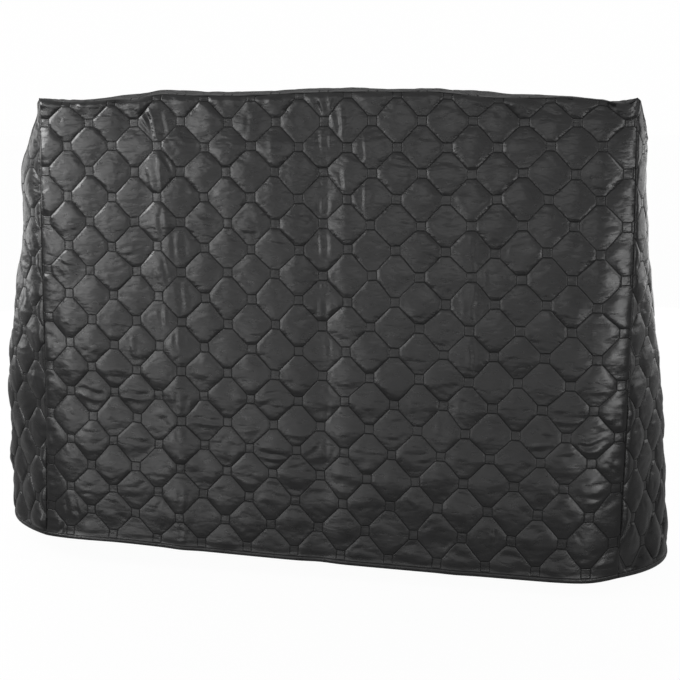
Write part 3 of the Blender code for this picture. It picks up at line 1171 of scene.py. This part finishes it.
@dataclass(frozen=True)
class Drape:
    """How the cloth of one panel gives way. Heights and reaches are in metres, the rest are shares.

    Fullness swells the puffs, by one share at the rim and another at the hem.
    """

    fullness: Pair = (1.40, 0.56)
    firmer_hem: float = 0.65
    slump: float = 0.0024
    sag: float = 0.0017
    soft: float = 0.0008
    tuck: float = -0.0010
    patches: Pair = (-0.3, 0.5)
    wander: float = 0.0032
    quiver: float = 0.0010
    held_crease: float = 0.22
    creep: float = 0.0030
    creep_reach: float = 0.06
    pucker: float = 0.0012
    pucker_at: float = 0.012
    pucker_reach: float = 0.013
    roll: float = 0.0030
    roll_reach: float = 0.020
    lip: float = 0.0042
    lip_at: float = 0.010
    lip_reach: float = 0.022
    lip_share: Pair = (0.7, 0.6)
    seam_rise: Pair = (-0.004, 0.012)
    seam_dip: float = 0.0012
    seam_dip_reach: float = 0.004
    hem: float = 0.012
    hem_flat: Pair = (0.6, 2.0)
    hem_middle: float = 0.45
    hem_half: float = 0.55
    hem_roll: float = 0.0026


@dataclass
class Panel:
    """One panel: cut flat from quilted cloth, then hung."""

    wall: Wall
    place: Surface
    rim_width: float
    hem_width: float
    length: float
    phase: Pair
    seed: int
    outward: float
    sewn: dict[str, Surface]
    quilting: Quilting
    wrinkling: Wrinkling
    drape: Drape
    creases: tuple[Crease, ...] = ()
    left_taper: float = 0.0
    has_hem: bool = True
    sheet: float = CoverShape.sheet
    weld_share: float = 0.2
    snap_share: float = 0.25
    kept_triangles: float = 0.545
    sharp: float = math.radians(70)

    @property
    def name(self) -> str:
        """Name of the finished piece."""
        return f"{self.wall.value}_quilted"

    @property
    def widest(self) -> float:
        """Width at the wider end."""
        return max(self.rim_width, self.hem_width)

    @property
    def slants(self) -> Pair:
        """How far the left edge and the right one run outwards between rim and hem."""
        taper = self.hem_width - self.rim_width
        return taper * self.left_taper, taper * (1 - self.left_taper)

    @property
    def left_end(self) -> float:
        """Flat place of the panel's leftmost point."""
        return -self.rim_width / 2 - max(0.0, self.slants[0])

    @property
    def weld(self) -> float:
        """How near a cell line may come to a cut before it is moved onto the cut."""
        return self.quilting.across / self.quilting.cells * self.weld_share

    def _lines(self, start: float, size: float, repeat: float, phase: float) -> list[float]:
        """Flat places of the cell lines that cover one side of the panel.

        Args:
            start: Flat place of the side's start.
            size: Its length.
            repeat: Size of one repeat along it.
            phase: Repeats from 0 to a crossing.

        Returns:
            The places, rising.
        """
        cells = self.quilting.cells
        first = math.floor((start / repeat - phase) * cells) - 1
        last = first + math.ceil(size / repeat * cells) + 3  # one cell before the side and two past it
        return ((self.quilting.lattice(np.arange(first, last + 1)) + phase) * repeat).tolist()

    def cut(self) -> bmesh.types.BMesh:
        """Cuts the flat sheet, with its squares on the quilting's lattice.

        Returns:
            A flat closed sheet, outer face at z 0 and lining at z -1, x from the middle and y downwards.
        """
        bm = bmesh.new()
        xs = self._lines(self.left_end, self.widest, self.quilting.across, self.phase[0])
        ys = self._lines(0.0, self.length, self.quilting.down, self.phase[1])
        columns, rows = len(xs) - 1, len(ys) - 1
        bmesh.ops.create_grid(bm, x_segments=columns, y_segments=rows, size=0.5)
        for vert in bm.verts:
            vert.co.x = xs[round((vert.co.x + 0.5) * columns)]
            vert.co.y = ys[round((vert.co.y + 0.5) * rows)]
        left_slant, right_slant = (slant / self.length for slant in self.slants)
        cuts = (
            (0.0, 0.0, 0.0, -1.0),
            (0.0, self.length, 0.0, 1.0),
            (-self.rim_width / 2, 0.0, -1.0, -left_slant),
            (self.rim_width / 2, 0.0, 1.0, -right_slant),
        )
        for x, y, out_x, out_y in cuts:
            everything = bm.verts[:] + bm.edges[:] + bm.faces[:]
            point, outward = Vector((x, y, 0.0)), Vector((out_x, out_y, 0.0)).normalized()
            bmesh.ops.bisect_plane(
                bm, geom=everything, dist=self.weld, plane_co=point, plane_no=outward, clear_outer=True
            )
        self._split_along_stitches(bm)
        doubled = bmesh.ops.extrude_face_region(bm, geom=bm.faces[:], use_keep_orig=True)
        lining = [item for item in doubled["geom"] if isinstance(item, bmesh.types.BMVert)]
        bmesh.ops.translate(bm, verts=lining, vec=(0.0, 0.0, -1.0))
        bmesh.ops.recalc_face_normals(bm, faces=bm.faces)
        return bm

    def _split_along_stitches(self, bm: bmesh.types.BMesh) -> None:
        """Splits each square cell that a diagonal stitch line crosses, so that the groove has an edge.

        Args:
            bm: The flat sheet.
        """
        near = 1e-4
        for face in [f for f in bm.faces if len(f.verts) == 4]:
            middle = face.calc_center_median()
            s, t = self.repeats(middle.x, middle.y)
            falls, rises = abs((s - t) - round(s - t)) < near, abs((s + t) - round(s + t)) < near
            a, b = abs(s - round(s)), abs(t - round(t))
            if a + b > 0.5:
                a, b = abs(a - 0.5), abs(b - 0.5)
            if max(a, b) < self.quilting.square or falls == rises:
                continue
            corners = sorted(face.verts, key=lambda v: (v.co.x + v.co.y) if falls else (v.co.x - v.co.y))
            bmesh.utils.face_split(face, corners[0], corners[3])

    def repeats(self, x: Array, y: Array) -> tuple[Array, Array]:
        """Quilting repeats at flat places."""
        return x / self.quilting.across - self.phase[0], y / self.quilting.down - self.phase[1]

    def shares(self, x: Array, y: Array) -> tuple[Array, Array]:
        """Turns flat places into shares of the panel's width and length.

        Args:
            x: Flat place across.
            y: Flat place down.

        Returns:
            Shares of the width from the left edge, and of the length from the rim.
        """
        v = np.clip(y / self.length, 0.0, 1.0)
        width = self.rim_width + (self.hem_width - self.rim_width) * v
        left = -self.rim_width / 2 - self.slants[0] * v
        u, edge = np.clip((x - left) / width, 0.0, 1.0), self.snap_share * self.weld / self.widest
        u = np.where(u < edge, 0.0, np.where(u > 1 - edge, 1.0, u))
        return u, np.where(v < edge, 0.0, np.where(v > 1 - edge, 1.0, v))

    def rumple(self, layer: Layer) -> Rumple:
        """One layer of the panel's own ups and downs."""
        offset, *shape = layer.value
        return Rumple(self.seed + offset, *shape)

    def drifted(self, x: Array, y: Array) -> tuple[Array, Array]:
        """Lets the cloth creep a little out of its even lattice, less beside the edges.

        Args:
            x: Flat place across.
            y: Flat place down.

        Returns:
            The flat places after it.
        """
        u, v = self.shares(x, y)
        edge = np.minimum(np.minimum(u, 1 - u) * self.widest, np.minimum(v, 1 - v) * self.length)
        free = self.drape.creep * smooth(0.0, self.drape.creep_reach, edge)
        across, down = self.rumple(Layer.CREEP_ACROSS), self.rumple(Layer.CREEP_DOWN)
        return x + free * across.at(x, y), y + free * down.at(x, y)

    def edge_gaps(self, u: Array, v: Array) -> tuple[Array, Array]:
        """Measures how far the edges are.

        Args:
            u: Share of the width.
            v: Share of the length.

        Returns:
            Metres to the nearest seam, and to the hem.
        """
        width = self.rim_width + (self.hem_width - self.rim_width) * v
        to_side, to_rim, to_far = np.minimum(u, 1 - u) * width, v * self.length, (1 - v) * self.length
        if self.has_hem:
            return np.minimum(to_side, to_rim), to_far
        return np.minimum(to_side, np.minimum(to_rim, to_far)), np.ones_like(u)

    def normals(self, u: Array, v: Array) -> Array:
        """Unit outward normals of the hanging surface."""
        return facing(self.place, self.outward, u, v)

    def relief(self, x: Array, y: Array, u: Array, v: Array) -> Array:
        """Height of the outer face over the hanging surface.

        Args:
            x: Flat place across.
            y: Flat place down.
            u: Share of the width.
            v: Share of the length.

        Returns:
            Heights in metres.
        """
        drape = self.drape
        at_rim, at_hem = drape.fullness
        height, free = self.quilting.height(*self.repeats(x, y), self.seed)
        height = height * (at_rim + (at_hem - at_rim) * v)
        to_seam, to_hem = self.edge_gaps(u, v)
        soft = self.rumple(Layer.SOFT).at(x, y) * drape.soft
        tucks = self.rumple(Layer.TUCKS).ridges(x, y) * drape.tuck
        patchy = smooth(*drape.patches, self.rumple(Layer.PATCHES).at(x, y))
        height = height + free * (soft + tucks * patchy)
        loose = 1 - drape.firmer_hem * v
        height += self.rumple(Layer.SLUMP).at(x, y) * drape.slump * loose
        height += self.rumple(Layer.SAG).at(x, y) * drape.sag * loose
        height += self.crease_height(x, y) * (drape.held_crease + (1 - drape.held_crease) * free)
        along = np.where(np.minimum(u, 1 - u) * self.widest < y, y, x)
        pucker = self.rumple(Layer.PUCKERS).at(along, 0 * along)
        height += pucker * bell(to_seam - drape.pucker_at, drape.pucker_reach) * drape.pucker
        if self.has_hem:
            height -= drape.roll * (1 - np.clip(y / drape.roll_reach, 0.0, 1.0)) ** 2
            least, more = drape.lip_share
            share = least + more * self.rumple(Layer.LIP).at(x, 0 * x)
            height += drape.lip * bell(y - drape.lip_at, drape.lip_reach) * share
        height *= smooth(*drape.seam_rise, to_seam)
        height -= drape.seam_dip * (1 - smooth(0.0, drape.seam_dip_reach, to_seam))
        return self._hemmed(height, to_hem) if self.has_hem else height

    def crease_height(self, x: Array, y: Array) -> Array:
        """Adds up the listed creases and the scattered wrinkles.

        Args:
            x: Flat place across.
            y: Flat place down.

        Returns:
            Heights in metres.
        """

        def wander(broad: Layer, fine: Layer) -> Array:
            """A broad drift and a fine one, which keep the creases from being straight."""
            wide = self.drape.wander * self.rumple(broad).at(x, y)
            return wide + self.drape.quiver * self.rumple(fine).at(x, y)

        across = x - self.left_end + wander(Layer.WANDER_ACROSS, Layer.QUIVER_ACROSS)
        down = y + wander(Layer.WANDER_DOWN, Layer.QUIVER_DOWN)
        crossing = (self.phase[0] * self.quilting.across - self.left_end, self.phase[1] * self.quilting.down)
        scattered = self.wrinkling.creases(self.quilting, (self.widest, self.length), crossing, self.seed)
        total = np.zeros_like(x)
        for crease in [*self.creases, *scattered]:
            near = crease.near(across, down)
            total[near] += crease.lift(across[near], down[near])
        return total

    def _hemmed(self, height: Array, to_hem: Array) -> Array:
        """Flattens the puffs into the turned hem and adds its roll.

        Args:
            height: Heights in metres without a hem.
            to_hem: Metres to the hem.

        Returns:
            The heights with it.
        """
        hem, (flat, full) = self.drape.hem, self.drape.hem_flat
        kept = smooth(hem * flat, hem * full, to_hem)
        off = np.abs(to_hem - hem * self.drape.hem_middle) / (hem * self.drape.hem_half)
        return height * kept + self.drape.hem_roll * np.sqrt(np.clip(1 - off**2, 0.0, 1.0))

    def inner_step(self, u: Array, v: Array) -> Array:
        """Step from the outer face to the lining, mitred along the seams.

        Args:
            u: Share of the width.
            v: Share of the length.

        Returns:
            One step a row.
        """
        own = self.normals(u, v)
        steps = -own * self.sheet
        edges = {"left": u <= 0.0, "right": u >= 1.0, "rim": v <= 0.0, "far": v >= 1.0}
        touching = {side: mask for side, mask in edges.items() if side in self.sewn}
        for i in np.flatnonzero(np.logical_or.reduce(list(touching.values()))):
            here = slice(i, i + 1)
            faces = [own[i]]
            faces += [self.sewn[side](u[here], v[here])[0] for side, mask in touching.items() if mask[i]]
            steps[i] = np.linalg.lstsq(np.array(faces), np.full(len(faces), -self.sheet), rcond=None)[0]
        return steps

    def build(self, finish: bpy.types.Material) -> bpy.types.Object:
        """Cuts, hangs and dresses the panel.

        Args:
            finish: Its material.

        Returns:
            The finished piece.
        """
        bm = self.cut()
        mesh = bpy.data.meshes.new(self.name)
        bm.to_mesh(mesh)
        bm.free()
        flat = np.empty(len(mesh.vertices) * 3, np.float32)
        mesh.vertices.foreach_get("co", flat)
        x, y, z = flat.reshape(-1, 3).astype(float).T
        u, v = self.shares(*self.drifted(x, y))
        outer = z > -0.5
        points = self.place(u, v)
        relief = self.relief(x[outer], y[outer], u[outer], v[outer])
        points[outer] += self.normals(u[outer], v[outer]) * relief[:, None]
        points[~outer] += self.inner_step(u[~outer], v[~outer])
        mesh.vertices.foreach_set("co", points.astype(np.float32).ravel())
        self._map(mesh, "cloth", *self.repeats(x, y))
        self._map(mesh, "edges", *self.edge_gaps(u, v))
        if self.outward < 0:
            mesh.flip_normals()
        mesh.materials.append(finish)
        piece = bpy.data.objects.new(self.name, mesh)
        bpy.context.scene.collection.objects.link(piece)
        inside = ~outer & (np.minimum(*self.edge_gaps(u, v)) > self.weld)
        self._thin_lining(piece, np.flatnonzero(inside))
        piece.data.shade_smooth()
        piece.data.set_sharp_from_angle(angle=self.sharp)
        return piece

    @staticmethod
    def _map(mesh: bpy.types.Mesh, name: str, first: Array, second: Array) -> None:
        """Writes two numbers a vertex into a UV map.

        Args:
            mesh: The panel's mesh.
            name: Name of the map.
            first: First number of each vertex.
            second: Second number of each vertex.
        """
        corner = np.empty(len(mesh.loops), np.int32)
        mesh.loops.foreach_get("vertex_index", corner)
        pairs = np.stack([first, second], axis=1)[corner].astype(np.float32)
        mesh.uv_layers.new(name=name).data.foreach_set("uv", pairs.ravel())

    def _thin_lining(self, piece: bpy.types.Object, inside: Array) -> None:
        """Merges most of the lining's cells, because the lining has no puffs.

        Args:
            piece: The panel's object.
            inside: Lining vertices away from every edge.
        """
        piece.vertex_groups.new(name="lining").add(inside.tolist(), 1.0, "REPLACE")
        thin = piece.modifiers.new("thin", "DECIMATE")
        thin.vertex_group = "lining"
        thin.ratio = self.kept_triangles
        bpy.context.view_layer.update()
        evaluated = piece.evaluated_get(bpy.context.evaluated_depsgraph_get())
        done = bpy.data.meshes.new_from_object(evaluated)
        piece.modifiers.clear()
        piece.vertex_groups.clear()
        raw, piece.data = piece.data, done
        bpy.data.meshes.remove(raw)
        done.name = self.name


# ================================================================ the cover
@dataclass(frozen=True)
class Cloth:
    """What a panel is cut from. Its phase is the repeats from its middle and its rim to a crossing."""

    seed: int
    phase: Pair
    wrinkling: Wrinkling
    quilting: Quilting = Quilting()
    drape: Drape = Drape()


@dataclass
class Cover:
    """The whole cover: five panels sewn round the lid.

    Its tables give each side's angles at its seams in degrees and its spare cloth, by share of the drop.
    """

    shape: CoverShape = CoverShape()
    finish: SatinFinish = SatinFinish()
    pressed: Quilting = Quilting(puff=0.0006, crown=0.0008, tilt=0.0006)
    plump: Quilting = Quilting(puff=0.0011, crown=0.0022, tilt=0.0012)
    side_drape: Drape = Drape(fullness=(0.30, 3.0), firmer_hem=-1.2)
    top_drape: Drape = Drape(fullness=(1.0, 1.0), slump=0.0010, sag=0.0010)
    left_table: Table = Table("drop front_angle back_angle slack", (
        (0.00, 30.0, 30.0, 0.000),
        (0.04, 40.0, 30.0, 0.010),
        (0.09, 50.0, 30.0, 0.026),
        (0.16, 54.0, 28.0, 0.047),
        (0.27, 50.0, 28.0, 0.044),
        (0.45, 46.0, 34.0, 0.076),
        (0.70, 45.0, 42.0, 0.104),
        (0.85, 46.0, 56.0, 0.116),
        (1.00, 49.0, 70.0, 0.122),
    ))
    right_table: Table = Table("drop front_angle back_angle slack", (
        (0.00, 30.0, 30.0, 0.000),
        (0.04, 38.0, 35.0, 0.010),
        (0.09, 42.0, 45.0, 0.018),
        (0.16, 43.0, 50.0, 0.021),
        (0.27, 41.0, 60.0, 0.027),
        (0.45, 36.0, 55.0, 0.048),
        (0.70, 37.0, 60.0, 0.088),
        (0.85, 41.0, 65.0, 0.108),
        (1.00, 47.0, 65.0, 0.124),
    ))
    left_hem: float = 0.612
    right_hem: float = 0.593
    left_droop: float = 0.006
    right_droop: float = 0.022

    @property
    def cloths(self) -> dict[Wall, Cloth]:
        """What each panel is cut from.

        Returns:
            The cloth of each wall.
        """
        sides = (self.plump, self.side_drape)
        sparse = Wrinkling(1.0, 1.0, 1.0, 0.0012)
        return {
            Wall.FRONT: Cloth(100, (0.0, 0.5307), Wrinkling(1.0, deepest=0.0011)),
            Wall.RIGHT: Cloth(110, (-0.187, 0.08), Wrinkling(2.2, 1.5, 0.5, 0.0015), *sides),
            Wall.BACK: Cloth(120, (0.0, 0.475), Wrinkling(1.0, 1.0, 1.0)),
            Wall.LEFT: Cloth(130, (0.228, 0.38), Wrinkling(2.2, 0.5, 1.5, 0.0015), *sides),
            Wall.TOP: Cloth(160, (0.0, 0.10), sparse, self.pressed, self.top_drape),
        }

    def _neighbour(self, surface: Surface, rule: Callable[..., tuple[Array, Array]], sign: float) -> Surface:
        """Normals of a neighbouring panel along a shared seam.

        Args:
            surface: The neighbour's surface.
            rule: Turns this panel's shares into the neighbour's.
            sign: Which way is outwards on the neighbour.

        Returns:
            A function from this panel's shares to the neighbour's outward normals.
        """
        return lambda u, v: facing(surface, sign, *rule(u, v))

    def panels(self) -> Iterable[Panel]:
        """The five panels with their seams.

        Returns:
            Each panel in turn.
        """
        shape = self.shape
        left = SideShape(shape, self.left_table, True, self.left_droop).point
        right = SideShape(shape, self.right_table, False, self.right_droop).point
        walls = {Wall.FRONT: shape.front, Wall.RIGHT: right, Wall.BACK: shape.back, Wall.LEFT: left}
        ring = list(walls)
        rims = (
            lambda u, v: (u, 0 * u),
            lambda u, v: (1 + 0 * u, u),
            lambda u, v: (1 - u, 1 + 0 * u),
            lambda u, v: (0 * u, 1 - u),
        )
        rim_widths = (shape.width, shape.top_depth) * 2
        hem_widths = (shape.width, self.right_hem, shape.width, self.left_hem)
        for k, wall in enumerate(ring):
            before, after = ring[k - 1], ring[(k + 1) % len(ring)]
            sewn = {
                "left": self._neighbour(walls[before], lambda u, v: (1 + 0 * u, v), -1.0),
                "right": self._neighbour(walls[after], lambda u, v: (0 * u, v), -1.0),
                "rim": self._neighbour(shape.top, rims[k], 1.0),
            }
            length = shape.front_drop if wall is Wall.FRONT else shape.drop
            panel = self._panel(wall, walls[wall], (rim_widths[k], hem_widths[k], length), sewn)
            if wall is Wall.FRONT:
                panel.creases = Crease.from_table(FRONT_CREASES)
            panel.left_taper = 1.0 if wall is Wall.LEFT else 0.0
            yield panel
        sewn = {
            "rim": self._neighbour(shape.front, lambda u, v: (u, 0 * u), -1.0),
            "right": self._neighbour(right, lambda u, v: (v, 0 * u), -1.0),
            "far": self._neighbour(shape.back, lambda u, v: (1 - u, 0 * u), -1.0),
            "left": self._neighbour(left, lambda u, v: (1 - v, 0 * u), -1.0),
        }
        yield self._panel(Wall.TOP, shape.top, (shape.width, shape.width, shape.top_depth), sewn)

    def _panel(self, wall: Wall, place: Surface, sizes: Place, sewn: dict[str, Surface]) -> Panel:
        """One panel with its own cloth.

        Args:
            wall: Which panel.
            place: Its surface.
            sizes: Width at the rim, width at the hem and length.
            sewn: Normals of its neighbours, by edge.

        Returns:
            The panel.
        """
        cloth, is_top = self.cloths[wall], wall is Wall.TOP
        return Panel(
            wall, place, *sizes, cloth.phase, cloth.seed, 1.0 if is_top else -1.0, sewn,
            cloth.quilting, cloth.wrinkling, cloth.drape, has_hem=not is_top,
        )

    def build(self) -> list[bpy.types.Object]:
        """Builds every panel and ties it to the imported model.

        Returns:
            The finished pieces.
        """
        pieces = []
        for panel in self.panels():
            piece = panel.build(self.finish.material(f"{panel.name}_satin", panel.quilting))
            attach(piece, "root")
            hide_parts(panel.wall.value)
            area = (panel.rim_width + panel.hem_width) / 2 * panel.length
            flat = (panel.widest, panel.length)
            pieces.append(piece)
        return pieces


# ================================================================ studio
@dataclass(frozen=True)
class Softbox:
    """A rectangular lamp that faces a place on the cover, set round it by angles in degrees."""

    name: str
    aim: Place
    azimuth: float
    elevation: float
    distance: float
    width: float
    height: float
    power: float

    def build(self) -> None:
        """Hangs the lamp."""
        data = bpy.data.lights.new(self.name, "AREA")
        data.shape = "RECTANGLE"
        data.size, data.size_y = self.width, self.height
        data.energy = self.power
        lamp = bpy.data.objects.new(self.name, data)
        turn, rise = math.radians(self.azimuth), math.radians(self.elevation)
        level = math.cos(rise)
        way = Vector((math.sin(turn) * level, -math.cos(turn) * level, math.sin(rise)))
        lamp.location = Vector(self.aim) + way * self.distance
        lamp.rotation_euler = way.to_track_quat("Z", "Y").to_euler()
        lamp.visible_camera = False
        bpy.context.scene.collection.objects.link(lamp)


MIDDLE: Place = (0.0, 0.0, -0.5)


@dataclass(frozen=True)
class Studio:
    """Pale floor, soft light and the camera.

    The world's light grows along its Y over `unlit_rear`, and along its Z over `lit_above`.
    """

    floor_gap: float = 0.02
    floor_size: float = 60.0
    floor_bounce: float = 0.19
    floor_glow: float = 0.965
    floor_roughness: float = 0.9
    wall_glow: float = 0.995
    fill: float = 0.50
    unlit_rear: Pair = (0.10, -0.20)
    lit_above: Pair = (0.30, 0.55)
    softboxes: tuple[Softbox, ...] = (
        Softbox("key_left", MIDDLE, -45.0, 5.0, 4.2, 1.2, 1.2, 18.4),
        Softbox("low_left", MIDDLE, -30.0, -12.0, 4.2, 1.8, 1.2, 22.0),
        Softbox("low_front", MIDDLE, 0.0, -12.0, 4.2, 1.8, 1.2, 9.5),
        Softbox("low_right", MIDDLE, 30.0, -12.0, 4.2, 1.8, 1.2, 24.0),
        Softbox("high_middle", (-0.42, -0.25, -0.5), -27.9, 20.9, 2.24, 0.9, 0.9, 6.0),
        Softbox("level_middle", (-0.21, -0.25, -0.5), -12.3, -5.0, 2.31, 0.9, 0.9, 1.2),
        Softbox("high_front", (0.03, -0.25, -0.5), 1.7, 18.8, 2.48, 0.9, 0.9, 2.7),
        Softbox("near_left", (-0.8, 0.0, -0.1), -56.3, 22.6, 1.56, 0.9, 0.9, 27.5),
        Softbox("near_right", (0.8, 0.0, -0.1), 56.3, 22.6, 1.56, 0.9, 0.9, 7.0),
        Softbox("level_right", (0.7, -0.25, -0.4), 40.0, 0.0, 2.2, 0.9, 0.9, 11.0),
        Softbox("side_left", MIDDLE, -110.0, 5.0, 4.2, 2.2, 1.4, 16.0),
        Softbox("side_right", MIDDLE, 125.0, 5.0, 4.2, 2.6, 1.4, 13.0),
        Softbox("rear_left", MIDDLE, -155.0, -6.0, 4.2, 3.0, 1.4, 15.0),
        Softbox("rear_right", MIDDLE, 162.0, -6.0, 4.2, 2.4, 1.4, 12.0),
    )
    lens: float = 70.0
    sensor: float = 36.0
    far_clip: float = 200.0
    camera_at: Place = (0.731, -3.390, 0.026)
    yaw: float = math.radians(12.25)
    pitch: float = math.radians(-10.85)
    roll: float = math.radians(0.51)

    def build(self) -> None:
        """Builds everything round the cover."""
        low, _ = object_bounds()
        self._floor(low[2] - self.floor_gap)
        self._world()
        for softbox in self.softboxes:
            softbox.build()
        self._camera()

    def _floor(self, height: float) -> None:
        """Lays a plain pale floor, over a dark one that keeps its light off the cover.

        Args:
            height: Height of the pale one.
        """
        pale = self._plane("floor", height, self.floor_glow)
        dark = self._plane("under_floor", height - self.floor_gap, self.floor_bounce)
        pale.visible_glossy = pale.visible_diffuse = False
        dark.visible_camera = False

    def _plane(self, name: str, height: float, glow: float) -> bpy.types.Object:
        """Lays one wide plane.

        Args:
            name: Its name.
            height: Its height.
            glow: How strongly it shines.

        Returns:
            The plane.
        """
        bm = bmesh.new()
        bmesh.ops.create_grid(bm, x_segments=1, y_segments=1, size=self.floor_size / 2)
        bmesh.ops.translate(bm, verts=bm.verts, vec=(0.0, 0.0, height))
        mesh = bpy.data.meshes.new(name)
        bm.to_mesh(mesh)
        bm.free()
        material = bpy.data.materials.new(f"{name}_paint")
        paint = {"Base Color": BLACK, "Roughness": self.floor_roughness}
        glowing = {"Emission Color": WHITE, "Emission Strength": glow}
        NodeBoard(material).ready("Principled BSDF", {**paint, **glowing})
        mesh.materials.append(material)
        plane = bpy.data.objects.new(name, mesh)
        bpy.context.scene.collection.objects.link(plane)
        plane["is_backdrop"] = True
        return plane

    def _world(self) -> None:
        """A pale studio wall to look at, with soft light from the front and from overhead."""
        world = bpy.data.worlds.new("studio")
        board = NodeBoard(world)
        place = board.node("ShaderNodeTexCoord", output="Generated")
        front = board.axis(place, "Y").step(*self.unlit_rear, self.fill)
        above = board.axis(place, "Z").step(*self.lit_above, self.fill)
        fill = board.ready("Background", {"Color": WHITE, "Strength": front.most(above)})
        wall = board.node("ShaderNodeBackground", None, {"Color": WHITE, "Strength": self.wall_glow})
        seen = board.node("ShaderNodeLightPath", output="Is Camera Ray")
        both = board.node("ShaderNodeMixShader", None, {0: seen, 1: fill, 2: wall})
        board.ready("World Output", {"Surface": both})
        bpy.context.scene.world = world
        bpy.context.scene.view_settings.view_transform = "Standard"

    def _camera(self) -> None:
        """Sets the camera."""
        data = bpy.data.cameras.new("camera")
        data.lens = self.lens
        data.sensor_width = self.sensor
        data.clip_end = self.far_clip
        camera = bpy.data.objects.new("camera", data)
        turn = Matrix.Rotation(self.yaw, 3, "Z") @ Matrix.Rotation(self.pitch, 3, "X")
        turn = turn @ Matrix.Rotation(self.roll, 3, "Y") @ Matrix.Rotation(math.pi / 2, 3, "X")
        camera.matrix_world = Matrix.Translation(self.camera_at) @ turn.to_4x4()
        bpy.context.scene.collection.objects.link(camera)
        bpy.context.scene.camera = camera


def main() -> None:
    """Builds the cover and the studio and reports each piece."""
    logging.basicConfig(level=logging.INFO, format="%(name)s %(message)s")
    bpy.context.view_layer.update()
    for piece in Cover().build():
        triangles = sum(len(polygon.vertices) - 2 for polygon in piece.data.polygons)
        LOG.info("%s: %d triangles", piece.name, triangles)
    Studio().build()


if __name__ == "__main__":
    main()
